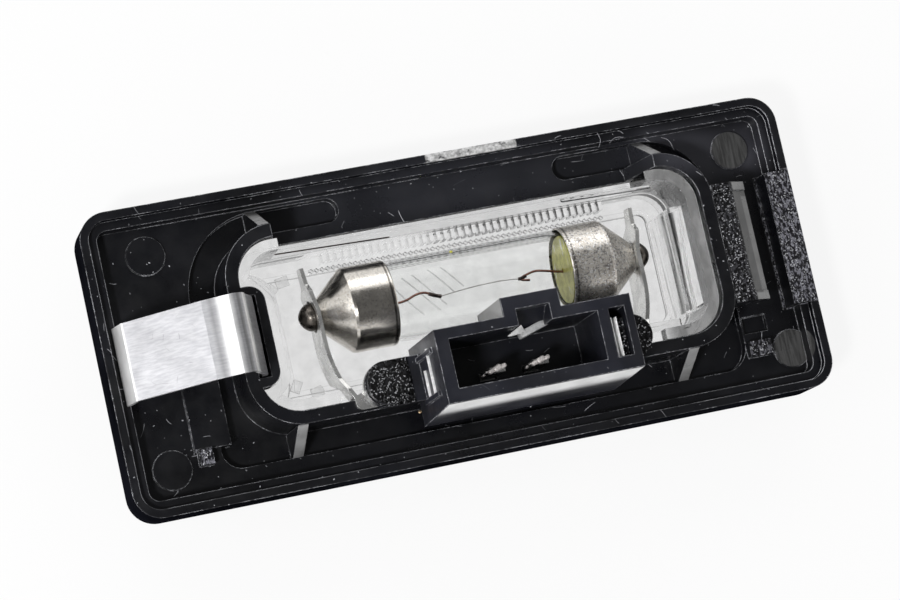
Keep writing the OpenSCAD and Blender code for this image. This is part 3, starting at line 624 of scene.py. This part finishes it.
extra = {
    "crimp_dark": metal("crimp_dark", (0.035, 0.028, 0.025, 1), (0.14, 0.11, 0.10, 1), (0.3, 0.5)),
    "terminal_glint": pale_bright("terminal_glint", (1.0, 0.94, 0.92, 1.0), 0.35, 0.1),
    "highlight_grey": pale_bright("highlight_grey", (0.72, 0.725, 0.73, 1.0), 0.35),
    "highlight_white": pale_bright("highlight_white", (1.0, 1.0, 1.0, 1.0), 0.35),
    "slot_rough": moulded_black("slot_rough", BLACK, SLOT_WALL, dust=0.3),
    "lint_pale": pale_bright("lint_pale", (0.40, 0.40, 0.43, 1.0), 0.5),
    "lens_detail": clear_moulding("lens_detail", 1.05, grey_walls=False),
    "lens_end_wall": end_wall_finish("lens_end_wall"),
    "brass_bit": metal("brass_bit", (0.45, 0.30, 0.16, 1), (0.8, 0.62, 0.4, 1)),
}

slot_of = {part["node"]: part["material_slot"] for part in frame["record"]["subparts"]}
for name, node in nodes.items():
    node.data.materials.clear()
    node.data.materials.append(finishes[slot_of[name]])


# Modelling helpers: each piece is shaped in edit mode, and then its place goes into its mesh

def point(x, y, z):
    """A place in millimetres, in metres."""
    return Vector((x, y, z)) * MM


def keep(name, material, stands_for=()):
    """Finishes the piece in hand: object mode, place into the mesh, finish and body."""
    piece = bpy.context.object
    bpy.ops.object.mode_set(mode="OBJECT")
    bpy.ops.object.transform_apply(location=True, rotation=True, scale=True)
    piece.name = name
    piece.data.materials.append(material)
    bpy.ops.object.shade_smooth_by_angle(angle=math.radians(35))
    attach(piece, "root")
    if stands_for:
        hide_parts(*stands_for)
    bpy.ops.object.select_all(action="DESELECT")
    return piece


def start_box(low, high, turn=0.0):
    """A box between two corners in millimetres, turned about its own middle, left in edit mode."""
    bpy.ops.object.select_all(action="DESELECT")
    middle = [(a + b) / 2 for a, b in zip(low, high)]
    size = [(b - a) * MM for a, b in zip(low, high)]
    bpy.ops.mesh.primitive_cube_add(size=1.0, location=point(*middle), rotation=(0, 0, math.radians(turn)))
    bpy.context.object.scale = size
    bpy.ops.object.transform_apply(location=False, rotation=False, scale=True)
    bpy.ops.object.mode_set(mode="EDIT")
    bpy.ops.mesh.select_all(action="SELECT")


def box_piece(name, low, high, slot_name, material, edge=0.05, turn=0.0):
    """A moulded block with its edges broken."""
    start_box(low, high, turn)
    bpy.ops.mesh.bevel(offset=edge * MM, segments=2, affect="EDGES")
    return keep(name, material)


def row_of(piece, count, step):
    """Repeats a piece along a step in millimetres."""
    bpy.ops.object.select_all(action="DESELECT")
    piece.select_set(True)
    bpy.context.view_layer.objects.active = piece
    array = piece.modifiers.new("row", "ARRAY")
    array.count = count
    array.use_relative_offset = False
    array.use_constant_offset = True
    array.constant_offset_displace = point(*step)
    bpy.ops.object.modifier_apply(modifier=array.name)
    bpy.ops.object.select_all(action="DESELECT")


def wire_piece(name, route, radius, material, stands_for=(), sides=10):
    """A round wire: a circle extruded from point to point of a route in the plan and turned at each."""
    bpy.ops.object.select_all(action="DESELECT")
    points = [point(*p) for p in route]
    ways = [(b - a) for a, b in zip(points, points[1:])]
    angles = [math.atan2(way.y, way.x) for way in ways]
    upright = (math.pi / 2, 0, angles[0] + math.pi / 2)
    bpy.ops.mesh.primitive_circle_add(vertices=sides, radius=radius * MM, fill_type="NGON",
                                      location=points[0], rotation=upright)
    bpy.ops.object.transform_apply(location=True, rotation=True, scale=True)
    bpy.ops.object.mode_set(mode="EDIT")
    bpy.ops.mesh.select_all(action="SELECT")
    for i, way in enumerate(ways):
        bpy.ops.mesh.extrude_region_move(TRANSFORM_OT_translate={"value": way})
        if i + 1 < len(ways):
            # The operator turns the other way when there is no window
            bend = (angles[i + 1] - angles[i] + math.pi) % (2 * math.pi) - math.pi
            bpy.ops.transform.rotate(value=-bend, orient_axis="Z", center_override=points[i + 1])
    bpy.ops.mesh.select_all(action="SELECT")
    bpy.ops.mesh.normals_make_consistent(inside=False)
    return keep(name, material, stands_for)


def smooth_route(route, steps=4):
    """A rounder route through the same points: a cubic between each two, set by their neighbours."""
    ends = [route[0], *route, route[-1]]
    fine = []
    for a, b, c, d in zip(ends, ends[1:], ends[2:], ends[3:]):
        for k in range(steps):
            t = k / steps
            fine.append(tuple(0.5 * (2 * q + (r - p) * t + (2 * p - 5 * q + 4 * r - s) * t ** 2
                                     + (3 * q - p - 3 * r + s) * t ** 3) for p, q, r, s in zip(a, b, c, d)))
    return [*fine, route[-1]]


# The bulb's axis, and the radii of its wires
AXIS_Y, AXIS_Z = 1.2, 9.0
WIRE_R = 0.12
LEFT_CRIMP_R, RIGHT_CRIMP_R = 0.19, 0.17
FILAMENT_R = 0.05


def at_axis(*flat):
    """A smooth route through places in the plan, at the height of the bulb's axis."""
    return smooth_route([(x, y, AXIS_Z) for x, y in flat])


def turned_piece(name, profile, material, stands_for, sides=64):
    """A round piece about the bulb's axis: a circle extruded from ring to ring of (place in X, radius)."""
    bpy.ops.object.select_all(action="DESELECT")
    bpy.ops.mesh.primitive_circle_add(vertices=sides, radius=profile[0][1] * MM, fill_type="NOTHING",
                                      location=point(profile[0][0], AXIS_Y, AXIS_Z),
                                      rotation=(0, math.pi / 2, 0))
    bpy.ops.object.transform_apply(location=True, rotation=True, scale=True)
    bpy.ops.object.mode_set(mode="EDIT")
    bpy.ops.mesh.select_all(action="SELECT")
    for (x_a, r_a), (x_b, r_b) in zip(profile, profile[1:]):
        growth = r_b / r_a
        bpy.ops.mesh.extrude_region_move(TRANSFORM_OT_translate={"value": point(x_b - x_a, 0, 0)})
        bpy.ops.transform.resize(value=(1.0, growth, growth), center_override=point(x_b, AXIS_Y, AXIS_Z))
    bpy.ops.mesh.select_all(action="SELECT")
    bpy.ops.mesh.remove_doubles(threshold=0.002 * MM)
    bpy.ops.mesh.fill_holes(sides=0)
    bpy.ops.mesh.select_all(action="SELECT")
    bpy.ops.mesh.normals_make_consistent(inside=False)
    return keep(name, material, stands_for)


# The glass narrows a little where it goes into the caps, and its wall is thin
GLASS_R, NECK_R, WALL = 4.05, 3.86, 0.34
CAP_RIM, GLASS_HALF = 9.0, 11.1
half_profile = [
    (GLASS_HALF, NECK_R),
    (CAP_RIM + 0.1, NECK_R),
    (CAP_RIM - 0.3, NECK_R + 0.04),
    (CAP_RIM - 0.7, NECK_R + 0.11),
    (CAP_RIM - 1.2, GLASS_R - 0.02),
    (CAP_RIM - 1.8, GLASS_R),
]
outer = [(BULB_X - x, r) for x, r in half_profile] + [(BULB_X + x, r) for x, r in reversed(half_profile)]
inner = [(x, r - WALL) for x, r in reversed(outer)]
turned_piece("glass_tube", [*outer, *inner, outer[0]], finishes["bulb_glass"], ["bulb_glass"])

# A drop of solder rounds off each tip: distance from the bulb's middle, and radius
DROP = [
    (15.6, 1.2), (16.65, 1.36), (17.0, 1.40), (17.35, 1.30),
    (17.65, 1.08), (17.9, 0.80), (18.08, 0.48), (18.17, 0.15),
]
for side, way in (("left", -1), ("right", 1)):
    turned_piece(f"{side}_tip_drop", [(BULB_X + way * x, r) for x, r in DROP],
                 finishes["solder"], [f"{side}_solder"], sides=40)

# The bent support wires, their crimps and the filament between them
copper, crimped = finishes["copper_wire"], extra["crimp_dark"]
left_wire = at_axis((-16.2, 1.2), (-8.2, 1.15), (-6.8, 1.0), (-5.8, 1.12), (-4.8, 1.48), (-3.9, 1.52),
                    (-3.2, 1.2))
right_wire = at_axis((19.0, 1.2), (11.4, 1.05), (10.2, 1.08), (9.0, 1.35), (7.7, 1.6), (6.7, 1.42),
                     (6.0, 1.15), (6.2, 0.95), (6.9, 0.82))
left_crimp = at_axis((-3.5, 1.34), (-3.1, 1.14), (-2.7, 0.98), (-2.3, 0.86))
right_crimp = at_axis((5.75, 1.12), (6.1, 1.14), (6.6, 1.3))
coil = at_axis((-2.4, 0.88), (-0.2, 1.1), (2.0, 1.25), (4.2, 1.27), (5.85, 1.13))
wire_piece("left_wire_round", left_wire, WIRE_R, copper, ["left_support_wire"])
wire_piece("right_wire_round", right_wire, WIRE_R, copper, ["right_support_wire"])
wire_piece("left_crimp", left_crimp, LEFT_CRIMP_R, crimped, ["left_filament_clamp"])
wire_piece("right_crimp", right_crimp, RIGHT_CRIMP_R, crimped, ["right_filament_clamp"])
wire_piece("filament_thin", coil, FILAMENT_R, finishes["filament_wire"], ["filament"],
           sides=6)

# The latch's ramp in the connector's notch, painted pale grey as a highlight
LATCH_TURN = 17
box_piece("latch_ramp", (2.3, -5.35, 16.6), (5.5, -4.65, 18.2), "carrier_plastic", extra["highlight_grey"], 0.12,
          turn=LATCH_TURN)
# The ramp's point: a box whose left end is pinched, white as a painted highlight
start_box((1.1, -5.55, 17.6), (2.7, -4.75, 18.3), turn=LATCH_TURN)
bpy.ops.mesh.select_all(action="DESELECT")
bpy.ops.mesh.select_mode(type="VERT")
bpy.ops.object.mode_set(mode="OBJECT")
for vertex in bpy.context.object.data.vertices:
    vertex.select = vertex.co.x < 0
bpy.ops.object.mode_set(mode="EDIT")
bpy.ops.transform.resize(value=(1.0, 0.15, 0.6))
bpy.ops.mesh.select_all(action="SELECT")
bpy.ops.mesh.bevel(offset=0.04 * MM, segments=2, affect="EDGES")
keep("latch_tip", extra["highlight_white"])

# Painted glints on the terminals: bright rounded bits on each blade, with their offset in the plan and half
# width
BLADE_Y = -8.2
BIT_FOOT, BIT_TOP = 16.8, 17.3
BITS = [(-0.75, -0.1, 0.22), (-0.1, 0.1, 0.30), (0.5, 0.2, 0.22), (-1.6, -0.35, 0.10), (-1.2, -0.1, 0.07)]
for side, blade_x in (("left", -0.35), ("right", 4.05)):
    for k, (dx, dy, r) in enumerate(BITS):
        x, y = blade_x + dx, BLADE_Y + dy
        start_box((x - 1.5 * r, y - r, BIT_FOOT), (x + 1.5 * r, y + r, BIT_TOP + r), turn=22)
        bpy.ops.mesh.bevel(offset=r * 0.75 * MM, segments=4, affect="EDGES")
        keep(f"{side}_terminal_glint_bit_{k + 1}", extra["terminal_glint"])

# Two ridges painted white as highlights, and a rough wall with painted glints, in the coding slot
SLOT_RIDGES_X = (10.52, 11.02)
for k, x in enumerate(SLOT_RIDGES_X):
    box_piece(f"slot_ridge_{k + 1}", (x - 0.05, -9.7, 14.9), (x + 0.05, -5.85, 21.3), "carrier_plastic",
              extra["highlight_white"], 0.02)
box_piece("slot_rough_wall", (11.25, -9.6, 14.9), (11.95, -5.9, 20.4), "carrier_plastic", extra["slot_rough"],
          0.1)

# Moulded details on the lens's floor and walls: rib and block at the end, teeth, streaks, marks and a ridge
detail = extra["lens_detail"]
box_piece("lens_end_block", *END_RIB, "clear_plastic", extra["lens_end_wall"], 0.10)
box_piece("lens_low_block", (19.6, -6.5, ON_FLOOR), (23.4, -5.0, 2.9), "clear_plastic", detail, 0.25)
teeth = box_piece("lens_teeth", (-13.3, 6.5, ON_FLOOR), (-12.95, 6.9, 2.2), "clear_plastic", detail, 0.06,
                  turn=45)
TEETH, TOOTH_STEP = 54, 0.58
row_of(teeth, TEETH, (TOOTH_STEP, 0, 0))
# Streaks: middle and length, and marks: middle and turn
STREAKS = [(-2.5, 2.5, 5.4), (-1.6, 2.85, 5.0), (-0.2, 3.6, 3.8), (1.0, 3.85, 3.4), (-3.9, 1.85, 4.2)]
FLOOR_MARKS = [(-17.5, 5.5, 40), (-15.0, -5.3, 15), (-16.2, 6.2, 10), (-17.0, -4.4, 60)]
for k, (x, y, length) in enumerate(STREAKS):
    box_piece(f"lens_streak_{k + 1}", (x - length / 2, y - 0.06, ON_FLOOR), (x + length / 2, y + 0.06, 1.72),
              "clear_plastic", detail, 0.03, turn=-54)
for k, (x, y, degrees) in enumerate(FLOOR_MARKS):
    box_piece(f"lens_mark_{k + 1}", (x - 0.65, y - 0.5, ON_FLOOR), (x + 0.65, y + 0.5, 1.65), "clear_plastic",
              detail, 0.06, turn=degrees)
box_piece("lens_top_ridge", (11.8, 7.75, 8.9), (21.2, 8.15, 9.4), "clear_plastic", detail, 0.14, turn=-1.5)
# Ridges painted white as highlights across the connector's left end (height and reach), and a dark strip on
# the lens's low wall as a painted shadow line
END_RIDGES = [(17.6, -9.6, -5.0), (15.2, -9.9, -6.8)]
for k, (z, y0, y1) in enumerate(END_RIDGES):
    box_piece(f"end_ridge_{k + 1}", (-7.15, y0, z - 0.09), (-6.8, y1, z + 0.09), "carrier_plastic",
              extra["highlight_white"], 0.04)
# A dark strip that stands for a painted shadow line on the lens's low wall
box_piece("lens_shadow_line", (-17.1, 8.26, 5.46), (-5.3, 8.40, 5.56), "clear_plastic", crimped, 0.03, turn=-1.7)

# Lint on the rim
LINT_R = 0.024
LINT = [
    [(17.3, 14.3, 8.55), (17.45, 13.5, 8.56), (17.1, 12.8, 8.55)],
    [(18.3, 13.05, 8.55), (19.0, 13.5, 8.57), (19.9, 13.4, 8.55)],
    [(23.8, 12.7, 8.55), (24.5, 12.2, 8.58), (24.8, 11.2, 8.55)],
]
for k, route in enumerate(LINT):
    wire_piece(f"lint_{k + 1}", smooth_route(route), LINT_R, extra["lint_pale"], sides=6)
# The left contact's bent end, ribs in the clip's pocket painted pale as highlights, a speck on the glass and
# a burr on the connector
box_piece("left_contact_lug", (-12.75, -7.75, 12.2), (-11.7, -6.4, 12.5), "contact_metal",
          finishes["contact_metal"], 0.08, turn=-12)
POCKET_RIBS_Y = (2.4, -1.45)
for k, y in enumerate(POCKET_RIBS_Y):
    box_piece(f"pocket_rib_{k + 1}", (-22.55, y - 0.2, 5.0), (-21.75, y + 0.2, 9.6), "housing_plastic",
              extra["highlight_grey"], 0.09)
box_piece("glass_speck", (-1.0, 4.62, 10.9), (-0.72, 4.86, 11.12), "cement", finishes["cement"], 0.06)
box_piece("connector_burr", (-7.75, -10.4, 11.7), (-7.45, -10.1, 12.1), "carrier_plastic", extra["brass_bit"],
          0.06)


# Camera at the photograph's place: a long lens straight above, a little to the left and below
LENS_MM = 132.0
SENSOR_MM = 36.0
VIEW_TURNS = (7.591, -13.910, -10.705)
VIEW_OFFSET = (-1.4056, 0.1400, 326.6035)
RIM_TOP = 8.5

turn = (Matrix.Rotation(math.radians(VIEW_TURNS[0]), 3, "X")
        @ Matrix.Rotation(math.radians(VIEW_TURNS[1]), 3, "Y")
        @ Matrix.Rotation(math.radians(VIEW_TURNS[2]), 3, "Z"))
camera_data = bpy.data.cameras.new("camera")
camera_data.lens = LENS_MM
camera_data.sensor_width = SENSOR_MM
camera_data.clip_start = 0.01
camera = bpy.data.objects.new("camera", camera_data)
bpy.context.scene.collection.objects.link(camera)
spot = turn @ Vector(VIEW_OFFSET) * MM + Vector((0, 0, RIM_TOP * MM))
camera.matrix_world = Matrix.Translation(spot) @ turn.to_4x4()
bpy.context.scene.camera = camera


# Floor, lamps and world
bpy.ops.object.select_all(action="DESELECT")
FLOOR_SIZE = 1.6
FLOOR_DROP = 0.00005
bpy.ops.mesh.primitive_plane_add(size=FLOOR_SIZE, location=(0, 0, -FLOOR_DROP))
floor = bpy.context.object
floor.name = "floor"
floor.data.transform(floor.matrix_world)
floor.matrix_world = Matrix.Identity(4)
floor.data.materials.append(paper_floor("floor_paper"))


def softbox(name, place, size, power):
    """An area lamp at a place in metres, aimed at the object."""
    data = bpy.data.lights.new(name, "AREA")
    data.shape = "RECTANGLE"
    data.size, data.size_y = size
    data.energy = power
    lamp = bpy.data.objects.new(name, data)
    bpy.context.scene.collection.objects.link(lamp)
    aim = -Vector(place)
    lamp.matrix_world = Matrix.Translation(Vector(place)) @ aim.to_track_quat("-Z", "Y").to_matrix().to_4x4()


# Place, size and watts of each lamp
softbox("softbox_back", (0.05, 0.6, 0.35), (0.9, 0.4), 1.5)
softbox("softbox_near_camera", (-0.30, -0.16, 0.50), (0.07, 0.07), 1.7)
softbox("softbox_left", (-0.6, 0.05, 0.30), (0.2, 0.5), 1.0)

# The studio: white walls round the table and a darker ceiling, which the black plastic mirrors
WALL_LEVEL = 0.95
CEILING_LEVEL = 0.10
# How steep a direction is where the white starts to darken, and where the ceiling is dark
WALL_TOP = 0.35
CEILING_START = 0.80
world = bpy.data.worlds.new("studio")
bpy.context.scene.world = world
world.use_nodes = True
sky = world.node_tree
background = sky.nodes["Background"]
background.inputs["Color"].default_value = grey(1.0)
direction = sky.nodes.new("ShaderNodeTexCoord")
parts = sky.nodes.new("ShaderNodeSeparateXYZ")
sky.links.new(direction.outputs["Generated"], parts.inputs[0])
level = sky.nodes.new("ShaderNodeMapRange")
level.interpolation_type = "SMOOTHSTEP"
sky.links.new(parts.outputs["Z"], level.inputs["Value"])
level.inputs["From Min"].default_value = WALL_TOP
level.inputs["From Max"].default_value = CEILING_START
level.inputs["To Min"].default_value = WALL_LEVEL
level.inputs["To Max"].default_value = CEILING_LEVEL
light_path = sky.nodes.new("ShaderNodeLightPath")
seen = sky.nodes.new("ShaderNodeMath")
seen.operation = "MAXIMUM"
sky.links.new(light_path.outputs["Is Camera Ray"], seen.inputs[0])
sky.links.new(level.outputs["Result"], seen.inputs[1])
sky.links.new(seen.outputs[0], background.inputs["Strength"])

bpy.context.scene.view_settings.view_transform = "Standard"

bpy.context.view_layer.update()
